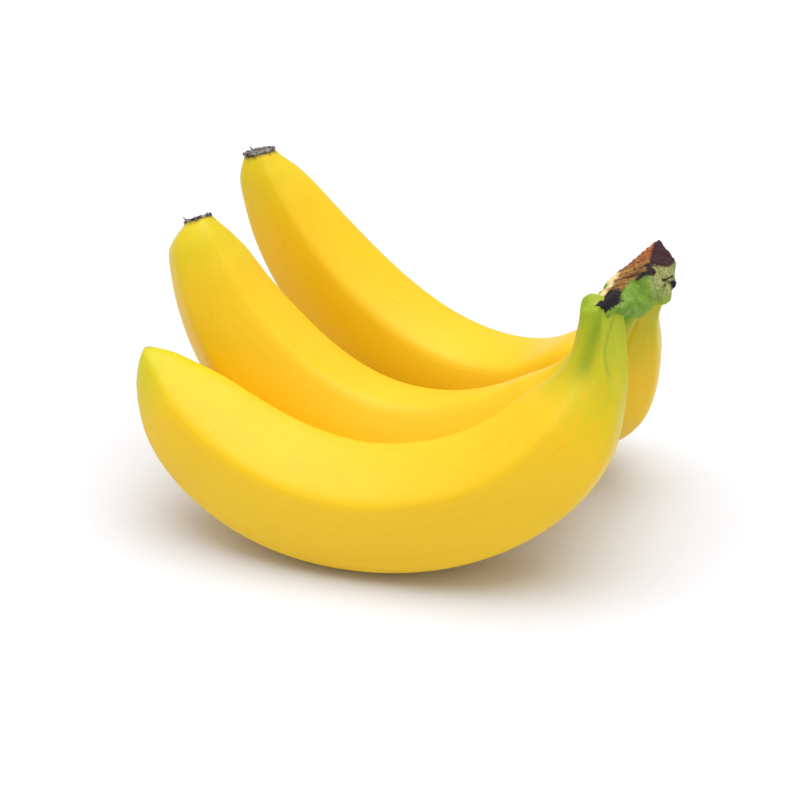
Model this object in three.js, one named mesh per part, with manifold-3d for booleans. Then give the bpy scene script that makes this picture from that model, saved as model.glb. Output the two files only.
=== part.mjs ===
// A bunch of three ripe bananas with the crown that they grew from.
//
// Millimetres, +Z up. The origin is on the table, under the middle of the bunch. The bananas lie
// side by side on their outer curves, with their tips up at -X and the cut crown up at +X.
import * as THREE from 'three';
import { mergeVertices } from 'three/addons/utils/BufferGeometryUtils.js';
import Module from 'manifold-3d';

const wasm = await Module();
wasm.setup();

// Driving dimensions. Each banana is a straight body of revolution, pressed to five ridges and bent
// in one plane. Its plane is turned by heading (0 is -X, 90 is +Y) and leans back by lean. The banana
// leaves its root at the angle dive and turns through turn on its way to the tip. Angles are in
// degrees. Its first stretch, inCrown long, is a part of the crown.
const BANANAS = [
  {
    name: 'front',
    root: [55.7, -43.1, 85.4],
    heading: 18,
    lean: 17,
    dive: -95.5,
    turn: 149.7,
    length: 192.5,
    bend: [0.5, 1.3, 0.85, 0.85, 0.65],
    radii: [6.2, 6.8, 9.8, 15.6, 17.7, 18.2, 18.0, 14.8, 8.2, 2.6],
    ridgeAtRoot: 12,
    ridgeAtTip: 12,
    inCrown: 8,
    blossomThickness: 0.8,
  },
  {
    name: 'middle',
    root: [61.3, -25.2, 73.3],
    heading: 18.5,
    lean: 1.5,
    dive: -75.5,
    turn: 157.3,
    length: 191,
    bend: [0.55, 0.95, 1.1, 0.9, 0.75],
    radii: [6.2, 5.6, 7.5, 13.4, 16.9, 17.8, 17.4, 14.4, 11.3, 4.3],
    ridgeAtRoot: 76,
    ridgeAtTip: 34,
    inCrown: 0,
    blossomThickness: 1.2,
  },
  {
    name: 'rear',
    root: [71.0, -8.4, 72.8],
    heading: 30.5,
    lean: -11,
    dive: -83.5,
    turn: 158.5,
    length: 199,
    bend: [0.7, 1.15, 1.15, 0.7, 0.55],
    radii: [6.4, 4.8, 10.0, 17.1, 17.8, 17.7, 16.5, 13.5, 9.7, 4.8],
    ridgeAtRoot: 72,
    ridgeAtTip: 28,
    inCrown: 1,
    blossomThickness: 1.4,
  },
];

// Shares of a banana's length, from its root, where bend and radii are given
const BEND_STATIONS = [0, 0.2, 0.45, 0.7, 1];
const RADIUS_STATIONS = [0, 0.06, 0.13, 0.22, 0.35, 0.55, 0.75, 0.88, 0.96, 1];

// The peel: five ridges, as a share of a sharp-cornered pentagon mixed into a circle
const RIDGE_COUNT = 5;
const RIDGE_SHARPNESS = 14;
const RIDGE_SHARE = 0.55;
const RIDGE_MEAN = 1.037;
const SIDES_PER_FACE = 5;
const RINGS = 38;

// Pieces that touch keep this much air between them. The sockets of the stalks have a little more.
const GAP = 0.3;
const SOCKET_GAP = 0.4;

// The dry remains of the flower at each tip. The radii are shares of the tip's own radius.
const BLOSSOM_SIDES = 20;
const BLOSSOM_BACK = 0.9;
const BLOSSOM_RIM = 1.05;
const BLOSSOM_FRONT = 0.7;
const BLOSSOM_RAGGED = 0.35;
const BLOSSOM_WAVE = 2.4;

// The crown: a long cushion with a collar round each stalk and lobes of stem tissue. Flat faces
// end it: its skin at the viewer's side, the knife cut and the dried cap on top, and its far side.
const CROWN_MIDDLE = [66.3, -22.1, 77];
const CROWN_HEADING = 65;
const CROWN_RADIUS = 5.8;
const CROWN_STRAIGHT = 46;
const CROWN_STRETCH_UP = 1.25;
const CUSHION_RINGS = 6;
const CUSHION_SIDES = 20;
const COLLAR_RADIUS = 7.2;
const COLLAR_ABOVE = 14;
const COLLAR_RINGS = 4;
const SOCKET_LENGTH = 27;
const SOCKET_RINGS = 6;
const CUT_POINT = [52.7, -50.3, 83.9];
const CUT_NORMAL = [-0.3, 0.15, 0.94];
const SKIN_NORMAL = [0.735, -0.555, 0.387];
const CAP_POINT = [69.4, -20.5, 84.5];
const CAP_NORMAL = [0.39, 0.03, 0.92];
const FAR_POINT = [74.6, 2.8, 82.1];
const FAR_NORMAL = [0.95, 0.3, 0.05];
const LOBES = [
  { at: [61.4, -41.3, 79], radius: 5 },
  { at: [66.4, -33.3, 75.5], radius: 4 },
  { at: [71.4, -22.8, 75.5], radius: 4.8 },
  { at: [71.7, -14.3, 76], radius: 6.3 },
  { at: [76.4, -20.8, 77.9], radius: 1.7 },
];
const SHOULDER = { at: [52.7, -42.3, 82], radius: 3.6 };
const LOBE_SIDES = 16;
const LOBE_RINGS = 10;

// Sizes of the calculation: steps along a middle line, the distance at which points are one point,
// and a block larger than the bunch to cut with
const LINE_STEPS = 240;
const SAME_POINT = 1e-4;
const CUT_BLOCK = 400;

const PEEL = new THREE.MeshStandardMaterial({ color: 0xf7cf2f, roughness: 0.5, metalness: 0 });
const DRY_BLOSSOM = new THREE.MeshStandardMaterial({ color: 0x4c4048, roughness: 0.9, metalness: 0 });
const CROWN_SKIN = new THREE.MeshStandardMaterial({ color: 0x6f9a3a, roughness: 0.7, metalness: 0 });

const radians = THREE.MathUtils.degToRad;
const blend = THREE.MathUtils.lerp;

// A smooth curve through values given at stations, read at one share of the length
function smoothThrough(stations, values, share) {
  const last = stations.length - 1;
  const slope = (i) => {
    const before = Math.max(i - 1, 0);
    const after = Math.min(i + 1, last);
    return (values[after] - values[before]) / (stations[after] - stations[before]);
  };
  let i = 0;
  while (i < last - 1 && share > stations[i + 1]) {
    i += 1;
  }
  const span = stations[i + 1] - stations[i];
  const t = (share - stations[i]) / span;
  const rise = t * t * (3 - 2 * t);
  const leaving = t * (1 - t) * (1 - t) * span * slope(i);
  const arriving = t * t * (t - 1) * span * slope(i + 1);
  return values[i] + (values[i + 1] - values[i]) * rise + leaving + arriving;
}

// The radius of a banana's stalk at its root, or of the banana further along
function radiusAt(banana, share) {
  return smoothThrough(RADIUS_STATIONS, banana.radii, Math.max(share, 0));
}

// The middle line of a banana: a function that gives its place and its three directions
function middleLine(banana) {
  const heading = radians(banana.heading);
  const lean = radians(banana.lean);
  const ahead = new THREE.Vector3(-Math.cos(heading), Math.sin(heading), 0);
  const aside = new THREE.Vector3(Math.sin(heading), Math.cos(heading), 0);
  const upward = aside.multiplyScalar(Math.sin(lean));
  upward.z += Math.cos(lean);
  const outward = new THREE.Vector3().crossVectors(upward, ahead);

  // The bend added up from the root, as a table that is read between its steps
  const turned = [0];
  for (let i = 1; i <= LINE_STEPS; i += 1) {
    const bend = smoothThrough(BEND_STATIONS, banana.bend, (i - 0.5) / LINE_STEPS);
    turned.push(turned[i - 1] + bend);
  }
  const angle = (share) => {
    const at = Math.min(Math.max(share, 0), 1) * LINE_STEPS;
    const below = Math.min(Math.floor(at), LINE_STEPS - 1);
    const sum = blend(turned[below], turned[below + 1], at - below);
    return radians(banana.dive + (banana.turn * sum) / turned[LINE_STEPS]);
  };
  const along = (share) => ahead.clone().multiplyScalar(Math.cos(angle(share)))
    .addScaledVector(upward, Math.sin(angle(share)));

  const places = [new THREE.Vector3(...banana.root)];
  for (let i = 1; i <= LINE_STEPS; i += 1) {
    const step = along((i - 0.5) / LINE_STEPS).multiplyScalar(banana.length / LINE_STEPS);
    places.push(step.add(places[i - 1]));
  }
  return (share) => {
    const inside = Math.min(Math.max(share, 0), 1);
    const at = inside * LINE_STEPS;
    const below = Math.min(Math.floor(at), LINE_STEPS - 1);
    const place = places[below].clone().lerp(places[below + 1], at - below);
    place.addScaledVector(along(share), (share - inside) * banana.length);
    const inward = ahead.clone().multiplyScalar(-Math.sin(angle(share)))
      .addScaledVector(upward, Math.cos(angle(share)));
    return { place, inward, outward, forward: along(share) };
  };
}

// How far out the peel stands at an angle from a ridge, beside a round one of the same girth
function ridgeFactor(angle) {
  let sum = 0;
  for (let face = 0; face < RIDGE_COUNT; face += 1) {
    const faceAngle = ((face + 0.5) * 2 * Math.PI) / RIDGE_COUNT;
    sum += Math.max(Math.cos(angle - faceAngle), 0) ** RIDGE_SHARPNESS;
  }
  const pentagon = sum ** (-1 / RIDGE_SHARPNESS);
  return (1 - RIDGE_SHARE + RIDGE_SHARE * pentagon) / RIDGE_MEAN;
}

// Shared vertices merged, and the empty triangles at the poles dropped
function closed(geometry) {
  geometry.deleteAttribute('normal');
  geometry.deleteAttribute('uv');
  const merged = mergeVertices(geometry, SAME_POINT);
  const corners = merged.index.array;
  const kept = [];
  for (let i = 0; i < corners.length; i += 3) {
    const [a, b, c] = [corners[i], corners[i + 1], corners[i + 2]];
    if (a !== b && b !== c && c !== a) {
      kept.push(a, b, c);
    }
  }
  merged.setIndex(kept);
  return merged;
}

// A closed geometry as a solid that can be joined and cut, and back
function solid(geometry) {
  const mesh = closed(geometry);
  return new wasm.Manifold(new wasm.Mesh({
    numProp: 3,
    vertProperties: new Float32Array(mesh.attributes.position.array),
    triVerts: new Uint32Array(mesh.index.array),
  }));
}

function geometryOf(manifold) {
  const mesh = manifold.getMesh();
  const geometry = new THREE.BufferGeometry();
  geometry.setAttribute('position', new THREE.BufferAttribute(mesh.vertProperties, 3));
  geometry.setIndex(new THREE.BufferAttribute(mesh.triVerts, 1));
  return geometry;
}

// Half of space, as a block that starts at a point and goes on along a normal
function beyondPlane(point, normal) {
  const block = new THREE.BoxGeometry(CUT_BLOCK, CUT_BLOCK, CUT_BLOCK);
  block.translate(0, 0, CUT_BLOCK / 2);
  const facing = new THREE.Vector3(...normal).normalize();
  block.applyQuaternion(new THREE.Quaternion().setFromUnitVectors(new THREE.Vector3(0, 0, 1), facing));
  block.translate(...point);
  return solid(block);
}

function ball({ at, radius }) {
  const sphere = new THREE.SphereGeometry(radius, LOBE_SIDES, LOBE_RINGS);
  sphere.translate(...at);
  return solid(sphere);
}

// A straight body of revolution bent along a banana's middle line. The profile's points are
// [radius, share of the length], from the root end on the axis to the tip end on the axis.
function bentBody(banana, profile, sides) {
  const points = profile.map(([radius, share]) => new THREE.Vector2(radius, share));
  const lathe = closed(new THREE.LatheGeometry(points, sides));
  const line = middleLine(banana);
  const position = lathe.attributes.position;
  for (let i = 0; i < position.count; i += 1) {
    const share = position.getY(i);
    const turn = Math.atan2(position.getX(i), position.getZ(i));
    const out = Math.hypot(position.getX(i), position.getZ(i)) * ridgeFactor(turn);
    const ridge = radians(blend(banana.ridgeAtRoot, banana.ridgeAtTip, share));
    const { place, inward, outward } = line(share);
    place.addScaledVector(outward, out * Math.cos(turn + ridge));
    place.addScaledVector(inward, out * Math.sin(turn + ridge));
    position.setXYZ(i, place.x, place.y, place.z);
  }
  return lathe;
}

// A banana, from where its stalk leaves the crown to the flat end of its tip. Its own weight
// presses its belly flat where it lies on the table.
function bananaBody(banana) {
  const start = banana.inCrown / banana.length;
  const profile = [[0, start]];
  for (let ring = 0; ring <= RINGS; ring += 1) {
    const share = blend(start, 1, ring / RINGS);
    profile.push([radiusAt(banana, share), share]);
  }
  profile.push([0, 1]);
  const body = solid(bentBody(banana, profile, RIDGE_COUNT * SIDES_PER_FACE));
  return geometryOf(body.subtract(beyondPlane([0, 0, 0], [0, 0, -1])));
}

// The dry flower remains: a thin, ragged disc on the flat end of the tip
function blossomEnd(banana) {
  const start = 1 + GAP / banana.length;
  const end = start + banana.blossomThickness / banana.length;
  const middle = (start + end) / 2;
  const radius = radiusAt(banana, 1);
  const profile = [
    [0, start],
    [radius * BLOSSOM_BACK, start],
    [radius * BLOSSOM_RIM, middle],
    [radius * BLOSSOM_FRONT, end],
    [0, end],
  ];
  const disc = bentBody(banana, profile, BLOSSOM_SIDES);
  const { place, forward } = middleLine(banana)(middle);
  const position = disc.attributes.position;
  for (let i = 0; i < position.count; i += 1) {
    const point = new THREE.Vector3().fromBufferAttribute(position, i).sub(place);
    const raised = Math.max(point.dot(forward), 0);
    point.addScaledVector(forward, raised * BLOSSOM_RAGGED * Math.sin(i * BLOSSOM_WAVE));
    point.add(place);
    position.setXYZ(i, point.x, point.y, point.z);
  }
  return disc;
}

// The part of the crown that carries on a banana's stalk, from the stalk's own start upwards
function collar(banana) {
  const top = (banana.inCrown - COLLAR_ABOVE) / banana.length;
  const bottom = (banana.inCrown - GAP) / banana.length;
  const stalk = radiusAt(banana, bottom);
  const profile = [[0, top]];
  for (let ring = 0; ring <= COLLAR_RINGS; ring += 1) {
    const part = ring / COLLAR_RINGS;
    profile.push([blend(COLLAR_RADIUS, stalk, part), blend(top, bottom, part)]);
  }
  profile.push([0, bottom]);
  return solid(bentBody(banana, profile, RIDGE_COUNT * SIDES_PER_FACE));
}

// The first stretch of a banana, grown by the gap, to cut the crown with
function stalkSocket(banana) {
  const top = (banana.inCrown - GAP) / banana.length;
  const bottom = top + SOCKET_LENGTH / banana.length;
  const profile = [[0, top]];
  for (let ring = 0; ring <= SOCKET_RINGS; ring += 1) {
    const share = blend(top, bottom, ring / SOCKET_RINGS);
    profile.push([radiusAt(banana, share) + SOCKET_GAP, share]);
  }
  profile.push([0, bottom]);
  return solid(bentBody(banana, profile, RIDGE_COUNT * SIDES_PER_FACE));
}

function crownBody() {
  const cushion = new THREE.CapsuleGeometry(CROWN_RADIUS, CROWN_STRAIGHT, CUSHION_RINGS, CUSHION_SIDES);
  cushion.scale(1, 1, CROWN_STRETCH_UP);
  cushion.rotateZ(radians(CROWN_HEADING - 90));
  cushion.translate(...CROWN_MIDDLE);
  let crown = solid(cushion);
  for (const banana of BANANAS) {
    crown = crown.add(collar(banana));
  }
  crown = crown.subtract(beyondPlane(CUT_POINT, SKIN_NORMAL));
  for (const lobe of LOBES) {
    crown = crown.add(ball(lobe));
  }
  crown = crown.subtract(beyondPlane(CUT_POINT, CUT_NORMAL));
  crown = crown.subtract(beyondPlane(CAP_POINT, CAP_NORMAL));
  crown = crown.subtract(beyondPlane(FAR_POINT, FAR_NORMAL));
  crown = crown.add(ball(SHOULDER));
  for (const banana of BANANAS) {
    crown = crown.subtract(stalkSocket(banana));
  }
  return geometryOf(crown);
}

function named(name, geometry, material) {
  const mesh = new THREE.Mesh(geometry, material);
  mesh.name = name;
  return mesh;
}

const bunch = new THREE.Group();
bunch.add(named('crown', crownBody(), CROWN_SKIN));
for (const banana of BANANAS) {
  bunch.add(named(`banana_${banana.name}`, bananaBody(banana), PEEL));
  bunch.add(named(`blossom_end_${banana.name}`, blossomEnd(banana), DRY_BLOSSOM));
}

export default bunch;
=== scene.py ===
# %% [markdown]
# # A bunch of three ripe bananas
# This script dresses a plain model of a bunch of bananas: three curved fruits that lie side by side
# on their bellies, and the green crown that they grew from, cut off with a knife and half dried.
# The plain model is loaded first. Every piece that is built here stands where the plain one does, in
# metres, with +Z up and the viewer at -Y.

# %% Load the frame
import math
import bmesh
import bpy
from mathutils import Matrix, Vector, noise


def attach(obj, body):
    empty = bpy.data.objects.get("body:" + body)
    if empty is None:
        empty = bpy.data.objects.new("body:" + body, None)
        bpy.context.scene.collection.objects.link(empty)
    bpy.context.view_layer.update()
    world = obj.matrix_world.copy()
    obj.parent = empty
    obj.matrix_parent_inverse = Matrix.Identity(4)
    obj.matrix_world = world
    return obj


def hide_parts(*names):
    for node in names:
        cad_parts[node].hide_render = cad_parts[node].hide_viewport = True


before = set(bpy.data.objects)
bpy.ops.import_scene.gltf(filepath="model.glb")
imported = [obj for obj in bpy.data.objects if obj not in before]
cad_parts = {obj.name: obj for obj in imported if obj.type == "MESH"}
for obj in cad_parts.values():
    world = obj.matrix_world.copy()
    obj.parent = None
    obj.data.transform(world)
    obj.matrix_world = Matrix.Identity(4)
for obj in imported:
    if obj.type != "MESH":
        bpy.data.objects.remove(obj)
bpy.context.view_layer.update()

MM = 0.001
print("nodes:", ", ".join(sorted(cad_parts)))

# %% [markdown]
# ## Helpers
# Colours are written as hex values, the way a paint program shows them. Blender calculates with
# linear light, so one function converts them. A second one adds a shader node with its settings and
# its links, which keeps each material short enough to read.

# %% Colours
def colour(hex_value):
    parts = [int(hex_value[i:i + 2], 16) / 255 for i in (1, 3, 5)]
    linear = [p / 12.92 if p <= 0.04045 else ((p + 0.055) / 1.055) ** 2.4 for p in parts]
    return (*linear, 1.0)


print("yellow in linear light:", [round(c, 3) for c in colour("#FBDD3F")[:3]])

# %% Shader nodes
def add(tree, kind, links=None, **settings):
    """One node with its settings, and its inputs set to a value or linked to another socket."""
    node = tree.nodes.new(kind)
    for name, value in settings.items():
        setattr(node, name, value)
    for name, value in (links or {}).items():
        if isinstance(value, bpy.types.NodeSocket):
            tree.links.new(value, node.inputs[name])
        else:
            node.inputs[name].default_value = value
    return node


def new_material(name):
    material = bpy.data.materials.new(name)
    material.use_nodes = True
    tree = material.node_tree
    tree.nodes.clear()
    return material, tree


print("helpers ready")

# %% [markdown]
# ## The shape of a banana
# A banana is close to a body of revolution: a thin stalk, a long belly and a blunt tip, on a middle
# line that is bent in one plane. Its peel has five flat faces with rounded ridges between them. So
# each one is described by a few numbers: where its root is, how its plane stands, how it bends on
# its way to the tip, and its radius at ten stations. The numbers were matched to the photograph.
# Lengths are in mm, angles in degrees, and a share runs from 0 at the root to 1 at the tip.

# %% Dimensions of the three bananas
# heading and lean turn the plane, from -X and from upright. The middle line starts at the angle dive
# and turns by turn, most where bend is high. stalk_ridges is the share of a second set of ridges on
# the stalk, twisted by stalk_twist. starts_at is where the peel starts, inside the crown, and ripe_by
# how much nearer the root it turns yellow. tip_slope tilts the tip's end, towards the viewer and the
# inside of the curve, tip_raised lifts it, and tip_lean pushes the shoulder before it outwards.
# tip_green is how green the tip is. blossom is the dry end's thickness and its width beside the tip.
BANANAS = {
    "front": dict(
        root=(55.7, -43.1, 85.4), heading=18, lean=17, dive=-95.5, turn=149.7, length=192.5,
        bend=(0.5, 1.3, 0.85, 0.85, 0.65),
        radii=(6.2, 6.8, 9.8, 15.6, 17.7, 18.2, 18.0, 14.8, 8.2, 2.6),
        ridge_at_root=12, ridge_at_tip=12, stalk_ridges=0.4, stalk_twist=-38, starts_at=-3.0, ripe_by=0,
        tip_slope=(0.9, 0.3), tip_raised=-2.2, tip_lean=0, tip_green=0.6, blossom=(0.3, 0.85)),
    "middle": dict(
        root=(61.3, -25.2, 73.3), heading=18.5, lean=1.5, dive=-75.5, turn=157.3, length=191,
        bend=(0.55, 0.95, 1.1, 0.9, 0.75),
        radii=(6.2, 5.6, 7.5, 13.4, 16.9, 17.8, 17.4, 13.9, 9.9, 4.1),
        ridge_at_root=76, ridge_at_tip=50, stalk_ridges=0.2, stalk_twist=0, starts_at=-2.0, ripe_by=8,
        tip_slope=(0.3, 0.3), tip_raised=0, tip_lean=1.1, tip_green=0.35, blossom=(0.8, 1)),
    "rear": dict(
        root=(71.0, -8.4, 72.8), heading=30.5, lean=-11, dive=-83.5, turn=158.5, length=199,
        bend=(0.7, 1.15, 1.15, 0.7, 0.55),
        radii=(6.4, 4.8, 10.0, 17.1, 17.8, 17.6, 16.2, 13.1, 9.1, 4.7),
        ridge_at_root=72, ridge_at_tip=44, stalk_ridges=0.2, stalk_twist=0, starts_at=-4.0, ripe_by=12,
        tip_slope=(0.3, 0.05), tip_raised=0, tip_lean=0.6, tip_green=0.3, blossom=(1.1, 1)),
}
BEND_STATIONS = (0, 0.2, 0.45, 0.7, 1)
RADIUS_STATIONS = (0, 0.06, 0.13, 0.22, 0.35, 0.55, 0.75, 0.88, 0.96, 1)
print("banana lengths in mm:", [b["length"] for b in BANANAS.values()])

# %% A smooth curve through stations
def smooth_through(stations, values, share):
    last = len(stations) - 1

    def slope(i):
        before, after = max(i - 1, 0), min(i + 1, last)
        return (values[after] - values[before]) / (stations[after] - stations[before])

    i = 0
    while i < last - 1 and share > stations[i + 1]:
        i += 1
    span = stations[i + 1] - stations[i]
    t = (share - stations[i]) / span
    rise = t * t * (3 - 2 * t)
    leaving = t * (1 - t) * (1 - t) * span * slope(i)
    arriving = t * t * (t - 1) * span * slope(i + 1)
    return values[i] + (values[i + 1] - values[i]) * rise + leaving + arriving


def blend(a, b, part):
    return a + (b - a) * part


def step_between(low, high, value):
    """0 below low, 1 above high, and a smooth rise between."""
    part = min(max((value - low) / (high - low), 0), 1)
    return part * part * (3 - 2 * part)


belly = smooth_through(RADIUS_STATIONS, BANANAS["front"]["radii"], 0.5)
print("belly radius of the front one, mm:", round(belly, 2))

# %% The middle line
LINE_STEPS = 240


def middle_line(banana):
    """A function that gives the place on the middle line and its inward and outward directions."""
    heading, lean = math.radians(banana["heading"]), math.radians(banana["lean"])
    ahead = Vector((-math.cos(heading), math.sin(heading), 0))
    aside = Vector((math.sin(heading), math.cos(heading), 0))
    upward = aside * math.sin(lean) + Vector((0, 0, math.cos(lean)))
    outward = upward.cross(ahead)
    turned = [0]
    for i in range(LINE_STEPS):
        bend = smooth_through(BEND_STATIONS, banana["bend"], (i + 0.5) / LINE_STEPS)
        turned.append(turned[-1] + bend)

    def angle(share):
        at = min(max(share, 0), 1) * LINE_STEPS
        below = min(int(at), LINE_STEPS - 1)
        total = blend(turned[below], turned[below + 1], at - below)
        return math.radians(banana["dive"] + banana["turn"] * total / turned[-1])

    def along(share):
        return ahead * math.cos(angle(share)) + upward * math.sin(angle(share))

    places = [Vector(banana["root"])]
    for i in range(LINE_STEPS):
        places.append(places[-1] + along((i + 0.5) / LINE_STEPS) * (banana["length"] / LINE_STEPS))

    def at_share(share):
        inside = min(max(share, 0), 1)
        at = inside * LINE_STEPS
        below = min(int(at), LINE_STEPS - 1)
        place = places[below].lerp(places[below + 1], at - below)
        place = place + along(share) * ((share - inside) * banana["length"])
        inward = upward * math.cos(angle(share)) - ahead * math.sin(angle(share))
        return place, inward, outward, along(share)

    return at_share


tip = middle_line(BANANAS["rear"])(1)[0]
print("tip of the rear banana, mm:", [round(c, 1) for c in tip])

# %% [markdown]
# ## Ridges, creases and the stalk
# The faces between the ridges are almost flat on the stalk and rounded on the belly, as ripe fruit
# swells. So the section is a blend of a pentagon and a circle, and the share of the pentagon falls
# from the stalk to the belly and again towards the tip. The front stalk has more to it: a valley
# down its front, a raised edge with a crease beside it, and a flare on each side near the crown.

# %% The section
# The pairs are shares of the banana's length, where a change starts and where it is complete
RIDGE_COUNT = 5
RIDGE_SHARPNESS = 14
PENTAGON_MEAN = 1.067
RIDGE_SHARE = 0.55
RIDGE_LOSS_AT_TIP = 0.5
STALK_TURNS_BELLY = (0.1, 0.18)
FRONT_BELLY_RIDGES = (0.08, 0.2)
TIP_ROUNDS_OFF = (0.85, 1)
EDGE_RUNS = (0, 0.03, 0.064, 0.085, 0.115)
# Each line of the front stalk: the shares and the section angles that it runs through, its half
# width as an angle, its height, and the shares between which it fades out
FRONT_LINES = {
    "valley": dict(at=(0, 0.02, 0.04, 0.07, 0.13), angle=(-25, -14, -2, 12, 16),
                   wide=20, high=-0.8, fade=(0.1, 0.15)),
    "raised edge": dict(at=EDGE_RUNS, angle=(-112, -86, -46, -38, -50),
                        wide=6, high=0.45, fade=(0.1, 0.125)),
    "crease": dict(at=EDGE_RUNS, angle=(-102, -76, -36, -28, -40),
                   wide=5, high=-0.6, fade=(0.1, 0.125)),
    "right flare": dict(at=(0, 0.1), angle=(-95, -95), wide=28, high=1.5, fade=(0.04, 0.085)),
    "left flare": dict(at=(0, 0.1), angle=(80, 80), wide=30, high=0.7, fade=(0.06, 0.1)),
}


def nearness(line, share, section):
    """1 on a line of the front stalk, falling to 0 beside it and where it fades out."""
    middle = smooth_through(line["at"], line["angle"], min(max(share, 0), line["at"][-1]))
    away = (section - middle + 180) % 360 - 180
    return math.exp(-(away / line["wide"]) ** 2) * (1 - step_between(*line["fade"], share))


def pentagon(turn):
    total = 0
    for face in range(RIDGE_COUNT):
        face_angle = (face + 0.5) * 2 * math.pi / RIDGE_COUNT
        total += max(math.cos(turn - face_angle), 0) ** RIDGE_SHARPNESS
    return total ** (-1 / RIDGE_SHARPNESS)


def section_radius(name, banana, share, turn):
    """Distance of the peel from the middle line in mm, at an angle from the ridge."""
    radius = smooth_through(RADIUS_STATIONS, banana["radii"], min(max(share, 0), 1))
    ridges = RIDGE_SHARE
    if name == "front":
        ridges *= step_between(*FRONT_BELLY_RIDGES, share)
    ridges *= 1 - RIDGE_LOSS_AT_TIP * step_between(*TIP_ROUNDS_OFF, share)
    on_stalk = banana["stalk_ridges"] * (1 - step_between(*STALK_TURNS_BELLY, share))
    twisted = turn - math.radians(banana["stalk_twist"])
    fruit_ridge = ridges * (pentagon(turn) - PENTAGON_MEAN)
    stalk_ridge = on_stalk * (pentagon(twisted) - PENTAGON_MEAN)
    radius *= 1 + fruit_ridge + stalk_ridge
    if name == "front":
        section = math.degrees(turn) + blend(banana["ridge_at_root"], banana["ridge_at_tip"], share)
        for line in FRONT_LINES.values():
            radius += line["high"] * nearness(line, share, section)
    return radius


print("ridge stands out by", round(pentagon(0) - pentagon(math.pi / 5), 3), "of the radius")

# %% [markdown]
# ## Modelling the peel
# A chain of edges is drawn from the root to the tip, one vertex for each ring, and spun round its
# own axis. That gives a straight, closed body. Then each vertex is moved to its place on the bent
# middle line. The straight place is kept in an attribute, in millimetres: the material reads it, so
# that streaks run along the fruit, whatever the bend.

# %% A spun body
def spun_body(profile, sides):
    """A closed body of revolution about Z from [radius, height] points, both ends on the axis."""
    mesh = bmesh.new()
    chain = [mesh.verts.new((radius, 0, height)) for radius, height in profile]
    edges = [mesh.edges.new(pair) for pair in zip(chain, chain[1:])]
    bmesh.ops.spin(mesh, geom=chain + edges, cent=(0, 0, 0), axis=(0, 0, 1), dvec=(0, 0, 0),
                   angle=math.tau, steps=sides, use_merge=True, use_duplicate=False)
    bmesh.ops.remove_doubles(mesh, verts=mesh.verts, dist=1e-5)
    bmesh.ops.recalc_face_normals(mesh, faces=mesh.faces)
    return mesh


def finished(mesh, name, material):
    """The bmesh, in mm until now, as a smooth object in metres."""
    bmesh.ops.scale(mesh, vec=(MM, MM, MM), verts=mesh.verts)
    data = bpy.data.meshes.new(name)
    mesh.to_mesh(data)
    mesh.free()
    for face in data.polygons:
        face.use_smooth = True
    data.materials.append(material)
    piece = bpy.data.objects.new(name, data)
    bpy.context.scene.collection.objects.link(piece)
    print(name, "has", len(data.polygons), "faces")
    return piece


print("a test body has", len(spun_body([(0, 0), (1, 0), (1, 2), (0, 2)], 12).verts), "vertices")

# %% Bending
# The tip's slope sets in over the last TIP_ZONE mm, and its lean over shares of the length
TIP_ZONE = 12
LEAN_MIDDLE = 0.97
LEAN_WIDTH = 0.028
LEAN_STOPS = (1, 0.985)


def tip_rise(banana, to_viewer, to_inside):
    """How far the sloping end of a tip rises at a point beside its axis."""
    slope_to_viewer, slope_to_inside = banana["tip_slope"]
    return slope_to_viewer * to_viewer + slope_to_inside * to_inside + banana["tip_raised"]


def lean_share(share):
    """1 a little before the tip, 0 at its end and on the belly."""
    return math.exp(-((share - LEAN_MIDDLE) / LEAN_WIDTH) ** 2) * step_between(*LEAN_STOPS, share)


def bend_body(mesh, name, banana):
    straight = mesh.verts.layers.float_vector.new("straight")
    line = middle_line(banana)
    for vert in mesh.verts:
        x, y, height = vert.co
        share = height / banana["length"]
        turn = math.atan2(y, x)
        radius = math.hypot(x, y)
        full = smooth_through(RADIUS_STATIONS, banana["radii"], min(max(share, 0), 1))
        out = radius / full * section_radius(name, banana, share, turn)
        ridge = math.radians(blend(banana["ridge_at_root"], banana["ridge_at_tip"], share))
        place, inward, outward, forward = line(share)
        vert[straight] = Vector((x, y, height))
        to_viewer = out * math.cos(turn + ridge)
        to_inside = out * math.sin(turn + ridge)
        near_tip = step_between(TIP_ZONE, 0, banana["length"] - height)
        raised = tip_rise(banana, to_viewer, to_inside) * near_tip
        to_inside -= banana["tip_lean"] * lean_share(share)
        vert.co = place + outward * to_viewer + inward * to_inside + forward * raised
    bmesh.ops.recalc_face_normals(mesh, faces=mesh.faces)


lean = BANANAS["middle"]["tip_lean"] * lean_share(LEAN_MIDDLE)
print("the shoulder of the middle tip leans out by", round(lean, 2), "mm")

# %% [markdown]
# ## Banana peel
# The peel is a living skin: a waxy, satin surface over thin yellow tissue. It turns from green to
# yellow as it ripens, last of all on the stalk, and a hint of green stays at the tip. Fine fibres
# run along it. Light enters it a little, so it has a small subsurface share. Its gloss is that of
# wax, with an index of refraction of 1.45.

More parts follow.
